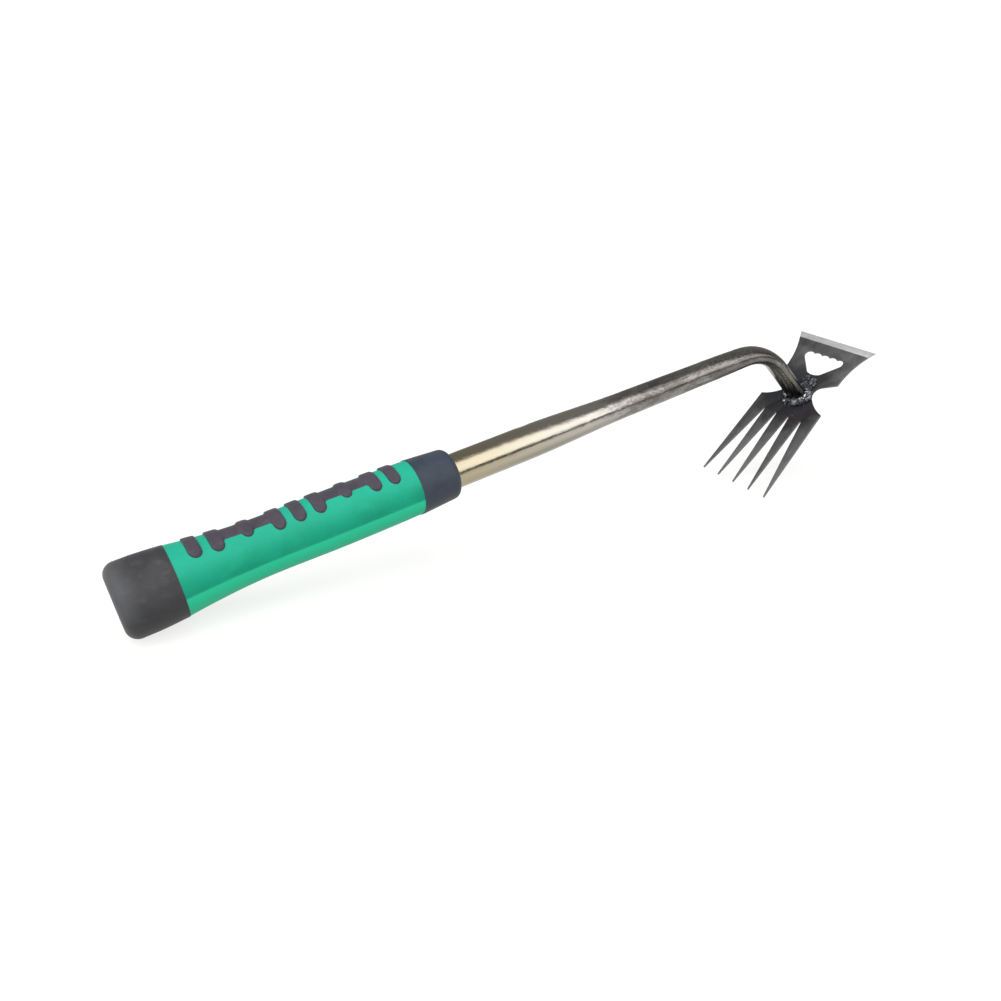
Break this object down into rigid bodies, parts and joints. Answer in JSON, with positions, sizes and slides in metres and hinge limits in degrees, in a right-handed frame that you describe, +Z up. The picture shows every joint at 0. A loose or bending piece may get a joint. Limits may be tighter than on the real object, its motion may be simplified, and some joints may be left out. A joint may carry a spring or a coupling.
{
  "type": "hand weeder",
  "caption": "Hand weeder: bent steel tube with a soft moulded grip, carrying a flat plate with a ground straight blade at one end and a tine rake at the other.",
  "frame": {"origin": "on the floor under the middle of the tool as it lies at rest on its tine tips and the lower edge of its butt", "axes": "+X along the tool from butt to head, +Z up, +Y across the blade; the XZ plane is the tool's plane of symmetry"},
  "size_m": [0.467, 0.0612, 0.0929],
  "materials": {
    "tube_steel": "bare nickel-toned tube with a faint straw tint, semi-bright, duller toward the bend",
    "plate_steel": "dark rolled mill scale with a bright ground cutting bevel",
    "weld_steel": "rough weld metal with blue-black heat tint",
    "plug_plastic": "plain moulded plastic",
    "core_plastic": "hard moulded plastic",
    "cap_rubber": "matt soft-touch moulding",
    "collar_rubber": "matt blue-black soft-touch moulding",
    "green_rubber": "satin soft-touch moulding",
    "inlay_rubber": "matt plum-grey soft-touch moulding"
  },
  "bodies": {
    "root": {"steel_tube": "tube_steel", "head_plate": "plate_steel", "weld_bead": "weld_steel", "tube_end_plug": "plug_plastic", "grip_core": "core_plastic", "grip_end_cap": "cap_rubber", "grip_shell": "green_rubber", "grip_collar": "collar_rubber", "inlay_bar_rear": "inlay_rubber", "inlay_comb_rear": "inlay_rubber", "inlay_bar_middle": "inlay_rubber", "inlay_comb_front": "inlay_rubber", "inlay_bar_front": "inlay_rubber"}
  },
  "joints": []
}
